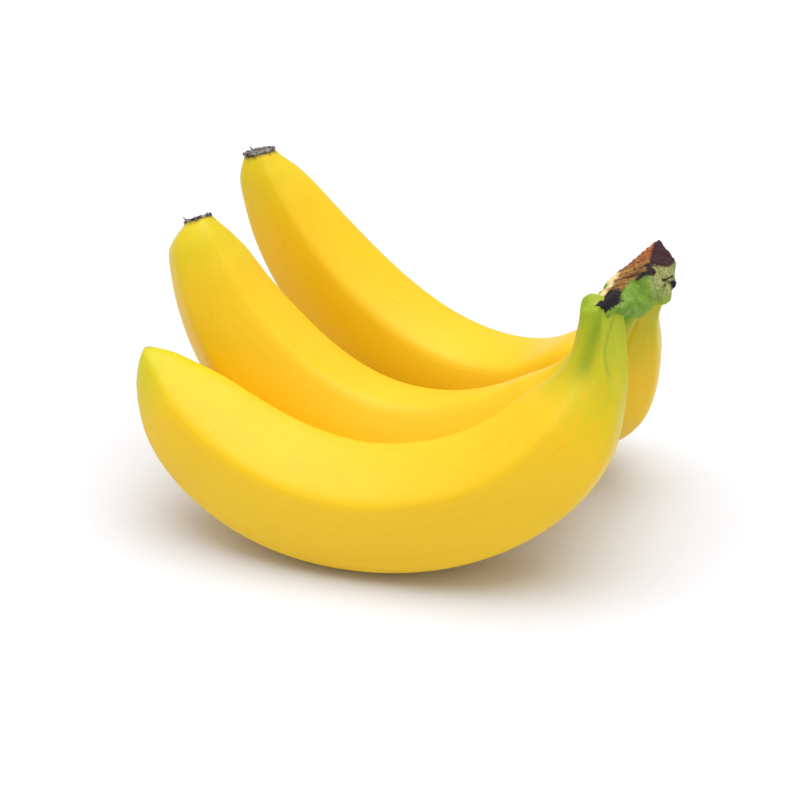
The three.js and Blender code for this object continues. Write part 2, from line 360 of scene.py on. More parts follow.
# %% Peel material
def peel_material():
    material, tree = new_material("ripe_banana_peel")
    straight = add(tree, "ShaderNodeAttribute", attribute_name="straight")
    to_tip = add(tree, "ShaderNodeAttribute", attribute_name="to_tip")
    painted_groove_shade = add(tree, "ShaderNodeAttribute", attribute_name="painted_groove_shade")
    from_root = add(tree, "ShaderNodeAttribute", attribute_name="from_root").outputs["Fac"]

    # The attribute is in mm: streaks are 1.5 mm wide and 25 mm long, and clouds 33 mm across
    along = add(tree, "ShaderNodeMapping", {"Vector": straight.outputs["Vector"],
                                            "Scale": (0.65, 0.65, 0.04)})
    streaks = add(tree, "ShaderNodeTexNoise", {"Vector": along.outputs["Vector"], "Scale": 1,
                                               "Detail": 4})
    clouds = add(tree, "ShaderNodeTexNoise", {"Vector": straight.outputs["Vector"], "Scale": 0.03,
                                              "Detail": 2})

    # Green turns to yellow over about 52 mm from the root, with an edge that the streaks make uneven
    uneven = add(tree, "ShaderNodeMath", {0: streaks.outputs["Fac"], 1: 16.0}, operation="MULTIPLY")
    height = add(tree, "ShaderNodeMath", {0: from_root, 1: uneven.outputs[0]}, operation="ADD")
    ripe = add(tree, "ShaderNodeMapRange", {"Value": height.outputs[0], "From Min": 8, "From Max": 60})
    ramp = add(tree, "ShaderNodeValToRGB", {"Fac": ripe.outputs[0]})
    stops = ((0.0, "#86AC1A"), (0.15, "#9CB419"), (0.34, "#B8BD18"), (0.55, "#D6C618"),
             (0.78, "#F4C916"))
    elements = ramp.color_ramp.elements
    elements[0].position, elements[0].color = stops[0][0], colour(stops[0][1])
    elements[1].position, elements[1].color = stops[-1][0], colour(stops[-1][1])
    for position, hex_value in stops[1:-1]:
        elements.new(position).color = colour(hex_value)

    # Slightly deeper yellow in clouds, and along the fibres
    deep = add(tree, "ShaderNodeMapRange", {"Value": clouds.outputs["Fac"], "From Min": 0.35,
                                            "From Max": 0.7, "To Min": 0.0, "To Max": 0.35})
    body = add(tree, "ShaderNodeMix", {"Factor": deep.outputs[0], 6: ramp.outputs["Color"],
                                       7: colour("#EEB90F")}, data_type="RGBA")
    thin = add(tree, "ShaderNodeMapRange", {"Value": streaks.outputs["Fac"], "From Min": 0.5,
                                            "From Max": 0.75, "To Min": 0.0, "To Max": 0.22})
    fibres = add(tree, "ShaderNodeMix", {"Factor": thin.outputs[0], 6: body.outputs[2],
                                         7: colour("#E8B112")}, data_type="RGBA")
    # Painted shade: deep green darkens the valley and the crease down the front stalk, where shade falls
    dark = add(tree, "ShaderNodeMix", {"Factor": painted_groove_shade.outputs["Fac"], 6: fibres.outputs[2],
                                       7: colour("#6B8F06")}, data_type="RGBA")

    # The last of the green at the tip, and brown over its last 1 to 2 mm
    unripe = add(tree, "ShaderNodeAttribute", attribute_name="unripe")
    tinted = add(tree, "ShaderNodeMix", {"Factor": unripe.outputs["Fac"], 6: dark.outputs[2],
                                         7: colour("#C2D01E")}, data_type="RGBA")
    rough_edge = add(tree, "ShaderNodeMath", {0: streaks.outputs["Fac"], 1: 2.4}, operation="MULTIPLY")
    edge = add(tree, "ShaderNodeMath", {0: to_tip.outputs["Fac"], 1: rough_edge.outputs[0]},
               operation="SUBTRACT")
    brown = add(tree, "ShaderNodeMapRange", {"Value": edge.outputs[0], "From Min": -1.2, "From Max": 0.2,
                                             "To Min": 0.85, "To Max": 0.0})
    ended = add(tree, "ShaderNodeMix", {"Factor": brown.outputs[0], 6: tinted.outputs[2],
                                        7: colour("#5E4A2C")}, data_type="RGBA")

    # Few and small brown specks, about a millimetre across and 14 mm apart
    cells = add(tree, "ShaderNodeTexVoronoi", {"Vector": straight.outputs["Vector"], "Scale": 0.07})
    speck = add(tree, "ShaderNodeMapRange", {"Value": cells.outputs["Distance"], "From Min": 0.02,
                                             "From Max": 0.045, "To Min": 0.3, "To Max": 0.0})
    spotted = add(tree, "ShaderNodeMix", {"Factor": speck.outputs[0], 6: ended.outputs[2],
                                          7: colour("#9A6A1E")}, data_type="RGBA")

    # Pores 0.5 mm apart, and the fibres, stand out by hundredths of a millimetre
    pores = add(tree, "ShaderNodeTexNoise", {"Vector": straight.outputs["Vector"], "Scale": 2.0,
                                             "Detail": 3})
    relief = add(tree, "ShaderNodeMath", {0: pores.outputs["Fac"], 1: streaks.outputs["Fac"]},
                 operation="ADD")
    bump = add(tree, "ShaderNodeBump", {"Height": relief.outputs[0], "Strength": 0.35,
                                        "Distance": 0.00018})
    gloss = add(tree, "ShaderNodeMapRange", {"Value": clouds.outputs["Fac"], "To Min": 0.36,
                                             "To Max": 0.52})
    skin = add(tree, "ShaderNodeBsdfPrincipled", {
        "Base Color": spotted.outputs[2], "Roughness": gloss.outputs[0], "Normal": bump.outputs[0],
        "IOR": 1.45, "Specular IOR Level": 0.4, "Subsurface Weight": 0.12,
        "Subsurface Radius": (1.0, 0.55, 0.12), "Subsurface Scale": 0.002})
    add(tree, "ShaderNodeOutputMaterial", {"Surface": skin.outputs[0]})
    return material


peel = peel_material()
print("made", peel.name)

# %% [markdown]
# ## Measures of the crown
# One knife cut goes through the crown and the top of the front stalk. So the crown's measures come
# before the bananas. Its shape is a long cushion and some lobes of stem tissue, and six planes that
# trim them: the near skin, the knife cut, the dried cap, the far end, the back and the underside.

# %% Dimensions of the crown
# Points and radii are in mm, and each normal points out of the crown
CROWN_MIDDLE = Vector((66.3, -22.1, 77))
CROWN_HEADING = 65
CROWN_RADIUS = 5.8
CROWN_STRAIGHT = 46
CROWN_STRETCH_UP = 1.25
CUT_POINT = Vector((52.7, -50.3, 83.9))
CUT_NORMAL = Vector((-0.3, 0.15, 0.94)).normalized()
SKIN_NORMAL = Vector((0.735, -0.555, 0.387)).normalized()
CAP_POINT = Vector((69.4, -20.5, 84.5))
CAP_NORMAL = Vector((0.39, 0.03, 0.92)).normalized()
FAR_POINT = Vector((74.6, 2.8, 82.1))
FAR_NORMAL = Vector((0.95, 0.3, 0.05)).normalized()
BACK_POINT = Vector((56.1, -29.4, 81.6))
BACK_NORMAL = Vector((-0.78, 0.46, 0.42)).normalized()
LOW_POINT = Vector((60.6, -41.0, 76.3))
LOW_NORMAL = Vector((-0.15, -0.25, -0.96)).normalized()
SKIN_PLANE = (CUT_POINT, SKIN_NORMAL)
TOP_PLANES = ((CUT_POINT, CUT_NORMAL), (CAP_POINT, CAP_NORMAL), (FAR_POINT, FAR_NORMAL),
              (BACK_POINT, BACK_NORMAL))
# Each lobe's centre and radius. The fifth one is the nub
LOBES = (((60.6, -41.0, 80.2), 3.6), ((65.4, -33.8, 76.9), 3.5), ((71.0, -22.4, 76.6), 3.8),
         ((71.7, -14.3, 76), 6.3), ((76.6, -20.9, 77.9), 1.4), ((63.0, -34.8, 78.7), 3.6),
         ((67.5, -28.0, 78.4), 4.2), ((68.2, -31.0, 75.4), 2.0), ((73.5, -22.2, 75.0), 3.1))
# The middles of three spots: the dark nub, the dark blotch on the cut, and the top of the front stalk
NUB = Vector((77.4, -21.4, 78.0))
BLOTCH = Vector((69.2, -23.5, 84.8))
STALK_TOP = Vector((52.5, -43.5, 80))
print("crown runs", CROWN_STRAIGHT + 2 * CROWN_RADIUS, "mm")

# %% [markdown]
# ## The three bananas
# Each one starts a little way inside the crown, so no gap shows between them, and ends flat under
# its dry blossom end. Its belly is pressed flat where it lies on the table: the lowest points are
# raised to the table's height. The top of the front stalk is pressed behind the crown's near skin and
# its knife cut, all but one rounded shoulder, and then smoothed.

# %% The top of the front stalk
# All in mm, the last two from the skin and from the cut to the stalk under them
SHOULDER = Vector((50.6, -42.3, 82.2))
SHOULDER_RISE = 4.6
SHOULDER_WIDTH = 2.0
BEHIND_SKIN = 0.6
BEHIND_CUT = 0.5


def shoulder_rise(place):
    """How far the left side of the front stalk rises above the knife cut, in mm."""
    beside = (place - SHOULDER).xy.length
    return SHOULDER_RISE * math.exp(-(beside / SHOULDER_WIDTH) ** 2)


def press_behind_cut(vert):
    rise = shoulder_rise(vert.co)
    for point, normal, allowed in ((CUT_POINT - BEHIND_SKIN * SKIN_NORMAL, SKIN_NORMAL, 0),
                                   (CUT_POINT - BEHIND_CUT * CUT_NORMAL, CUT_NORMAL, rise)):
        beyond = (vert.co - point).dot(normal) - allowed
        if beyond > 0:
            vert.co -= normal * beyond


print("the shoulder stands", SHOULDER_RISE, "mm above the cut")

# %% Build the bananas
# The tip turns green from 24 to 2 mm before its end. The front stalk is pressed over a share of the
# banana's length and smoothed to 5 mm from its root. VALLEY_SHADE and CREASE_SHADE set how strongly its
# valley and crease are painted with shade
RINGS = 170
CAP_RINGS = 6
SIDES = 110
GREEN_TIP = (24, 2)
PRESSED_SHARE = 0.2
SMOOTHED_TO = 5
SMOOTHING_ROUNDS = 12
VALLEY_SHADE = 0.6
CREASE_SHADE = 0.5


def banana_profile(banana):
    """[radius, height] points from the middle of the root's end to the middle of the tip's."""
    start = banana["starts_at"]
    length = banana["length"]
    profile = [(banana["radii"][0] * part / CAP_RINGS, start) for part in range(CAP_RINGS)]
    for ring in range(RINGS + 1):
        height = blend(start, length, ring / RINGS)
        share = min(max(height / length, 0), 1)
        profile.append((smooth_through(RADIUS_STATIONS, banana["radii"], share), height))
    profile.append((0, length))
    return profile


def smooth_out(mesh, verts, rounds):
    for _ in range(rounds):
        bmesh.ops.smooth_vert(mesh, verts=verts, factor=0.5, use_axis_x=True, use_axis_y=True,
                              use_axis_z=True)


def build_banana(name):
    banana = BANANAS[name]
    length = banana["length"]
    mesh = spun_body(banana_profile(banana), SIDES)
    bend_body(mesh, name, banana)
    straight = mesh.verts.layers.float_vector["straight"]
    marks = {key: mesh.verts.layers.float.new(key) for key in ("from_root", "to_tip", "unripe", "painted_groove_shade")}
    for vert in mesh.verts:
        x, y, height = vert[straight]
        share = height / length
        vert[marks["to_tip"]] = length - height
        vert[marks["unripe"]] = banana["tip_green"] * step_between(*GREEN_TIP, length - height)
        vert[marks["from_root"]] = height + banana["ripe_by"]
        if name == "front":
            # Painted shade: how much the valley and the crease of the front stalk are darkened in colour
            section = math.degrees(math.atan2(y, x)) + banana["ridge_at_root"]
            in_valley = nearness(FRONT_LINES["valley"], share, section)
            in_crease = nearness(FRONT_LINES["crease"], share, section)
            vert[marks["painted_groove_shade"]] = VALLEY_SHADE * in_valley + CREASE_SHADE * in_crease
            if share < PRESSED_SHARE:
                press_behind_cut(vert)
        vert.co.z = max(vert.co.z, 0)
    if name == "front":
        top = [vert for vert in mesh.verts if vert[straight].z < SMOOTHED_TO]
        smooth_out(mesh, top, SMOOTHING_ROUNDS)
    return finished(mesh, "peel_" + name, peel)


bananas = {name: build_banana(name) for name in BANANAS}

# %% [markdown]
# ## The dry blossom ends
# Where the flower fell off, a thin disc of dried, dark tissue is left. It is rough and torn at its
# rim, with a stiff thread or two. It is spun as a thin disc, torn by noise, and set on the tip. Its
# material is matt, and its grain of 1.1 mm runs from nearly black to the grey of dust.

# %% Dry tissue material
def dry_material():
    material, tree = new_material("dried_flower_tissue")
    place = add(tree, "ShaderNodeTexCoord")
    grain = add(tree, "ShaderNodeTexNoise", {"Vector": place.outputs["Object"], "Scale": 900,
                                             "Detail": 5})
    ramp = add(tree, "ShaderNodeValToRGB", {"Fac": grain.outputs["Fac"]})
    ramp.color_ramp.elements[0].position = 0.38
    ramp.color_ramp.elements[0].color = colour("#231B1E")
    ramp.color_ramp.elements[1].position = 0.68
    ramp.color_ramp.elements[1].color = colour("#A39C98")
    bump = add(tree, "ShaderNodeBump", {"Height": grain.outputs["Fac"], "Strength": 0.9,
                                        "Distance": 0.0004})
    surface = add(tree, "ShaderNodeBsdfPrincipled", {
        "Base Color": ramp.outputs["Color"], "Roughness": 0.85, "Normal": bump.outputs[0]})
    add(tree, "ShaderNodeOutputMaterial", {"Surface": surface.outputs[0]})
    return material


dry = dry_material()
print("made", dry.name)

# %% Build the blossom ends
# The disc from its underside to its top, as shares of the tip's radius with heights in mm, and then
# with heights as shares of its thickness
DISC_UNDERSIDE = ((0, -0.5), (0.5, -0.5), (0.95, -0.5), (1.06, 0.1))
DISC_TOP = ((1.04, 0.6), (0.92, 1), (0.6, 0.6), (0.3, 0.5), (0, 0.5))
DISC_SIDES = 72
TEARS_PER_MM = 0.9
TEAR_HEIGHT = 0.45
TEAR_WIDTH = 0.07
GRAINS_PER_MM = 2.4
GRAIN_HEIGHT = 0.2
# Threads: angle round the tip in degrees and length in mm, then the measures that all of them have
THREADS = {
    "front": ((200, 1.0),),
    "middle": ((290, 2.0), (80, 1.0)),
    "rear": ((250, 1.8), (100, 1.0)),
}
THREAD_RADIUS = 0.35
THREAD_END_RADIUS = 0.08
THREAD_LEAN = 35
THREAD_ROOTED = 0.4
THREAD_FROM_MIDDLE = 0.85


def add_thread(mesh, radius, thickness, angle, length):
    out_to_rim = Matrix.Translation((radius * THREAD_FROM_MIDDLE, 0, thickness))
    turned = Matrix.Rotation(math.radians(angle), 4, "Z") @ out_to_rim
    raised = Matrix.Translation((0, 0, length / 2 - THREAD_ROOTED))
    leaning = turned @ Matrix.Rotation(math.radians(THREAD_LEAN), 4, "Y") @ raised
    bmesh.ops.create_cone(mesh, segments=10, radius1=THREAD_RADIUS, radius2=THREAD_END_RADIUS,
                          depth=length, cap_ends=True, matrix=leaning)


def build_blossom_end(name):
    banana = BANANAS[name]
    thickness, width = banana["blossom"]
    radius = banana["radii"][-1] * width
    profile = [(radius * share, height) for share, height in DISC_UNDERSIDE]
    profile += [(radius * share, thickness * part) for share, part in DISC_TOP]
    mesh = spun_body(profile, DISC_SIDES)
    for angle, length in THREADS[name]:
        add_thread(mesh, radius, thickness, angle, length)
    place, inward, outward, forward = middle_line(banana)(1)
    for vert in mesh.verts:
        torn = noise.noise(vert.co * TEARS_PER_MM + Vector((banana["length"], 0, 0)))
        fine = noise.noise(vert.co * GRAINS_PER_MM)
        if vert.co.z > 0:
            vert.co.z += (TEAR_HEIGHT * torn + GRAIN_HEIGHT * fine) * thickness
        vert.co.xy = vert.co.xy * (1 + TEAR_WIDTH * torn)
        x, y, z = vert.co
        vert.co = place + outward * x + inward * y + forward * (z + tip_rise(banana, x, y))
    bmesh.ops.recalc_face_normals(mesh, faces=mesh.faces)
    return finished(mesh, "dry_end_" + name, dry)


blossom_ends = {name: build_blossom_end(name) for name in BANANAS}

# %% [markdown]
# ## The crown
# The crown is the cushion of stem tissue that all three stalks grew from. Its top is a knife cut that
# has dried: cream where it is fresh, brown and orange with fibres where it is older, black at the
# near end, and a dark leathery cap at the far end. Closed shapes are cut flat with bisect_plane, put
# in one mesh, and merged to one skin with a voxel remesh. That suits a grown form, because it leaves
# no seams where the parts meet.

# %% Cutting a closed shape flat
def cut_flat(mesh, planes):
    for point, normal in planes:
        everything = mesh.verts[:] + mesh.edges[:] + mesh.faces[:]
        cut = bmesh.ops.bisect_plane(mesh, geom=everything, plane_co=point, plane_no=normal,
                                     clear_outer=True)
        rim = [e for e in cut["geom_cut"] if isinstance(e, bmesh.types.BMEdge)]
        if rim:
            bmesh.ops.edgeloop_fill(mesh, edges=rim)


def copy_into(target, source):
    data = bpy.data.meshes.new("part")
    source.to_mesh(data)
    source.free()
    target.from_mesh(data)
    bpy.data.meshes.remove(data)


ball = bmesh.new()
bmesh.ops.create_icosphere(ball, subdivisions=2, radius=1)
cut_flat(ball, ((Vector((0, 0, 0)), Vector((0, 0, 1))),))
print("a ball cut in half has", len(ball.faces), "faces")
ball.free()

# %% The cushion and the collars
# A collar narrows from its own radius to the stalk's at the height where it grips it, in mm from the
# root, and closes just below that
CUSHION_SIDES = 48
COLLAR_SIDES = 60
COLLAR_RADIUS = 7.2
COLLAR_ABOVE = 14
COLLAR_RINGS = 4
COLLAR_GRIPS_AT = {"middle": 0, "rear": 1}
LIP = (0.25, 2.5)
CLOSING = (-0.5, 4)
FRONT_COLLAR = [(5.6, -6), (5.6, 0), (5, 2), (4, 4)]


def cushion():
    """A long capsule, laid along the crown and stretched upwards."""
    half = CROWN_STRAIGHT / 2
    arc = [math.radians(a) for a in range(0, 91, 10)]
    profile = [(CROWN_RADIUS * math.sin(a), -half - CROWN_RADIUS * math.cos(a)) for a in arc]
    profile += [(CROWN_RADIUS * math.cos(a), half + CROWN_RADIUS * math.sin(a)) for a in arc]
    profile[0] = (0, profile[0][1])
    profile[-1] = (0, profile[-1][1])
    mesh = spun_body(profile, CUSHION_SIDES)
    laid = Matrix.Rotation(math.radians(90), 4, "Y")
    turned = Matrix.Rotation(math.radians(CROWN_HEADING), 4, "Z") @ laid
    stretched = Matrix.Diagonal((1, 1, CROWN_STRETCH_UP, 1)) @ turned
    bmesh.ops.transform(mesh, matrix=Matrix.Translation(CROWN_MIDDLE) @ stretched, verts=mesh.verts)
    cut_flat(mesh, (SKIN_PLANE, (LOW_POINT, LOW_NORMAL)) + TOP_PLANES)
    return mesh


def collar_steps(name):
    """[radius, height] points of the tissue that grips a stalk, with heights from the stalk's root."""
    if name == "front":
        return FRONT_COLLAR
    banana = BANANAS[name]
    grip = COLLAR_GRIPS_AT[name]
    stalk = smooth_through(RADIUS_STATIONS, banana["radii"], grip / banana["length"])
    parts = [ring / COLLAR_RINGS for ring in range(COLLAR_RINGS + 1)]
    steps = [(blend(COLLAR_RADIUS, stalk, part), grip - COLLAR_ABOVE * (1 - part)) for part in parts]
    return steps + [(stalk + wider, grip + lower) for wider, lower in (LIP, CLOSING)]


def collar(name):
    steps = collar_steps(name)
    mesh = spun_body([(0, steps[0][1])] + steps + [(0, steps[-1][1])], COLLAR_SIDES)
    line = middle_line(BANANAS[name])
    for vert in mesh.verts:
        x, y, height = vert.co
        place, inward, outward, _ = line(height / BANANAS[name]["length"])
        vert.co = place + outward * x + inward * y
    bmesh.ops.recalc_face_normals(mesh, faces=mesh.faces)
    cut_flat(mesh, (SKIN_PLANE,) + TOP_PLANES)
    return mesh


print("collars start", COLLAR_ABOVE, "mm above their grip")

# %% Put the crown together
VOXEL = 0.4


def rough_crown():
    whole = bmesh.new()
    copy_into(whole, cushion())
    for name in BANANAS:
        copy_into(whole, collar(name))
    for place, radius in LOBES:
        lobe = bmesh.new()
        bmesh.ops.create_icosphere(lobe, subdivisions=4, radius=radius, matrix=Matrix.Translation(place))
        cut_flat(lobe, TOP_PLANES)
        copy_into(whole, lobe)
    return whole


def one_skin(mesh, voxel):
    """The shapes in a mesh merged to one closed skin."""
    data = bpy.data.meshes.new("rough")
    mesh.to_mesh(data)
    mesh.free()
    rough = bpy.data.objects.new("rough", data)
    bpy.context.scene.collection.objects.link(rough)
    remesh = rough.modifiers.new("one skin", "REMESH")
    remesh.mode = "VOXEL"
    remesh.voxel_size = voxel
    evaluated = rough.evaluated_get(bpy.context.evaluated_depsgraph_get())
    merged = bmesh.new()
    merged.from_mesh(evaluated.to_mesh())
    bpy.data.objects.remove(rough)
    return merged


crown_mesh = one_skin(rough_crown(), VOXEL)
print("crown skin:", len(crown_mesh.verts), "vertices")

# %% [markdown]
# ## Weathering of the crown
# What each point of the crown looks like follows from where it is: how deep it lies under the knife
# cut and the cap, how far along the crown, and how far in from its near edge. Its shares of seven
# finishes go into attributes for the material, and the same shares say how rough it is there. Noise
# makes each border uneven.

# %% Borders of the finishes
FINISHES = ("cut", "browned", "orange", "charred", "cap", "aged", "stalk")
ALONG_CROWN = Vector((math.cos(math.radians(CROWN_HEADING)), math.sin(math.radians(CROWN_HEADING)), 0))
ACROSS_CROWN = Vector((-ALONG_CROWN.y, ALONG_CROWN.x, 0))
# Each pair is where a finish is absent and where it is full. A depth is negative under its plane, a
# length runs along the crown from CUT_POINT, a width runs in from its near edge, and a size is the
# distance from a spot's middle. All are in mm, but for how squarely a point faces out of the cut
BORDERS = {
    "cut depth": (-1.0, -0.45),
    "cut facing": (0.3, 0.7),
    "cap depth": (-1.3, -0.5),
    "cap above cut": (-0.1, 0.35),
    "burnt end length": (15, 12),
    "burnt end width": (1.7, 0.7),
    "burnt edge depth": (-0.9, -0.3),
    "burnt depth": (-1.2, -0.7),
    "burnt length": (34, 30),
    "burnt side thins": (8, 14),
    "burnt side width": (1.4, 0.8),
    "burnt side length": (32, 28),
    "nub size": (2.0, 1.3),
    "crack height": (0.5, 0.2),
    "crack length": (6, 4),
    "blotch size": (4.2, 2.0),
    "blotch depth": (-2.5, -1.2),
    "browned width": (-0.8, 0.9),
    "orange length": (28, 42),
    "torn width": (5.5, 7),
    "torn depth": (-5, -3.5),
    "stalk size": (7, 4.5),
    "stalk height": (76.5, 73),
    "aged depth": (10, 3),
    "aged length": (22, 32),
    "sunken length": (6, 0),
    "pressed depth": (-3.5, -7.5),
    "pressed length": (16, 9),
}


def within(border, value):
    return step_between(*BORDERS[border], value)


print(len(BORDERS), "borders of", len(FINISHES), "finishes")

# %% Shares of the finishes at a point
# Heights and depths are in mm. A factor before a noise is how far, in mm, it shifts that border
CLOUDS_PER_MM = 0.35
SPECKS_PER_MM = 1.3
CRUMBS_PER_MM = 2.6
BURNT_SIDE_DEPTH = 2.8
BURNT_SIDE_DEPTH_BEYOND = -0.6
BURNT_SIDE_EDGE = (-0.5, 0.3)
CRACK_ABOVE_NUB = 0.4
FRESH_AT = 0.3
FRESH_WIDENS = 0.11
FRESH_ENDS = 28
FRESH_CLOSES = 2
SKIN_ROUGHNESS = 0.12
CUT_ROUGHNESS = 0.4
CUT_CRUMB = 0.2
CHAR_CRUMB = 0.4
SKIN_WAVE = 0.35
SUNKEN_AT = 45
SUNKEN_BY = 0.4
PRESSED_BY = 2.4


def burnt_share(place, along, inside, under_cut, grain):
    """How charred it is: at the near end, the near edge, the side, the nub and its crack."""
    outside = (place - CUT_POINT).dot(SKIN_NORMAL)
    end = within("burnt end length", along + 2 * grain) * within("burnt end width", inside + 0.5 * grain)
    edge = within("burnt edge depth", outside + 0.4 * grain)
    top = max(end, edge) * within("burnt depth", under_cut) * within("burnt length", along)
    depth = blend(BURNT_SIDE_DEPTH, BURNT_SIDE_DEPTH_BEYOND, within("burnt side thins", along))
    none, full = BURNT_SIDE_EDGE
    side = step_between(none - depth, full - depth, under_cut + 0.6 * grain)
    side *= within("burnt side width", inside) * within("burnt side length", along)
    from_nub = (place - NUB).length
    off_crack = abs(place.z - NUB.z - CRACK_ABOVE_NUB + 0.5 * grain)
    crack = within("crack height", off_crack) * within("crack length", from_nub)
    return max(top, side, within("nub size", from_nub), crack)


def finishes_at(place, normal):
    """The share of each finish at a point of the crown, and how the point moves, in mm."""
    under_cut = (place - CUT_POINT).dot(CUT_NORMAL)
    under_cap = (place - CAP_POINT).dot(CAP_NORMAL)
    along = (place - CUT_POINT).dot(ALONG_CROWN)
    inside = (place - CUT_POINT).dot(ACROSS_CROWN)
    cloud = noise.noise(place * CLOUDS_PER_MM)
    grain = noise.noise(place * SPECKS_PER_MM)
    crumb = noise.noise(place * CRUMBS_PER_MM)
    on_cut = within("cut depth", under_cut) * within("cut facing", normal.dot(CUT_NORMAL))
    on_cap = within("cap depth", under_cap + 0.3 * grain) * within("cap above cut", under_cap - under_cut)
    charred = burnt_share(place, along, inside, under_cut, grain)
    blotch = within("blotch size", (place - BLOTCH).length + 2.5 * cloud)
    blotch *= within("blotch depth", under_cut)
    fresh_from = FRESH_AT + FRESH_WIDENS * along + FRESH_CLOSES * max(along - FRESH_ENDS, 0)
    torn_edge = within("torn width", inside + cloud) * within("torn depth", under_cut)
    on_stalk = within("stalk size", (place - STALK_TOP).length + 1.5 * cloud)
    shares = {
        "cut": max(on_cut, torn_edge),
        "browned": within("browned width", fresh_from - inside + 1.2 * cloud + 0.8 * grain),
        "orange": within("orange length", along + 4 * cloud),
        "charred": min(max(charred, blotch), 1),
        "cap": on_cap,
        "aged": within("aged depth", -under_cap) * within("aged length", along + 5 * cloud),
        "stalk": max(on_stalk, within("stalk height", place.z + 1.5 * cloud)),
    }
    rough = blend(SKIN_ROUGHNESS, CUT_ROUGHNESS, on_cut) * grain
    rough += CUT_CRUMB * on_cut * crumb + CHAR_CRUMB * charred * crumb
    rough += SKIN_WAVE * cloud * (1 - on_cut)
    rough -= SUNKEN_BY * on_cap * within("sunken length", abs(along - SUNKEN_AT))
    pressed = PRESSED_BY * within("pressed depth", under_cut) * within("pressed length", along)
    return shares, normal * rough - SKIN_NORMAL * pressed


print("charred at the nub:", finishes_at(NUB, SKIN_NORMAL)[0]["charred"])

# %% Mark and roughen the skin
# All of it is smoothed for 3 rounds, and what lies 1.6 mm below the top planes for 8 more
SMOOTHING_OVER_ALL = 3
SMOOTHING_BELOW = 8
BELOW_TOP = 1.6


def weather(mesh):
    layers = {key: mesh.verts.layers.float.new(key) for key in FINISHES}
    below = [v for v in mesh.verts if all((v.co - p).dot(n) < -BELOW_TOP for p, n in TOP_PLANES)]
    smooth_out(mesh, mesh.verts, SMOOTHING_OVER_ALL)
    smooth_out(mesh, below, SMOOTHING_BELOW)
    mesh.normal_update()
    moves = []
    for vert in mesh.verts:
        shares, move = finishes_at(vert.co, vert.normal)
        for key in FINISHES:
            vert[layers[key]] = shares[key]
        moves.append((vert, move))
    for vert, move in moves:
        vert.co += move
    bmesh.ops.recalc_face_normals(mesh, faces=mesh.faces)


weather(crown_mesh)
print("crown weathered")

# %% [markdown]
# ## Stem tissue
# One material covers the crown, because its finishes run into each other. The living skin is matt
# green with paler streaks. The knife cut is bare tissue, cream when fresh, that dries to brown and
# orange with dark flecks. Where it has charred or dried to leather it is nearly black.

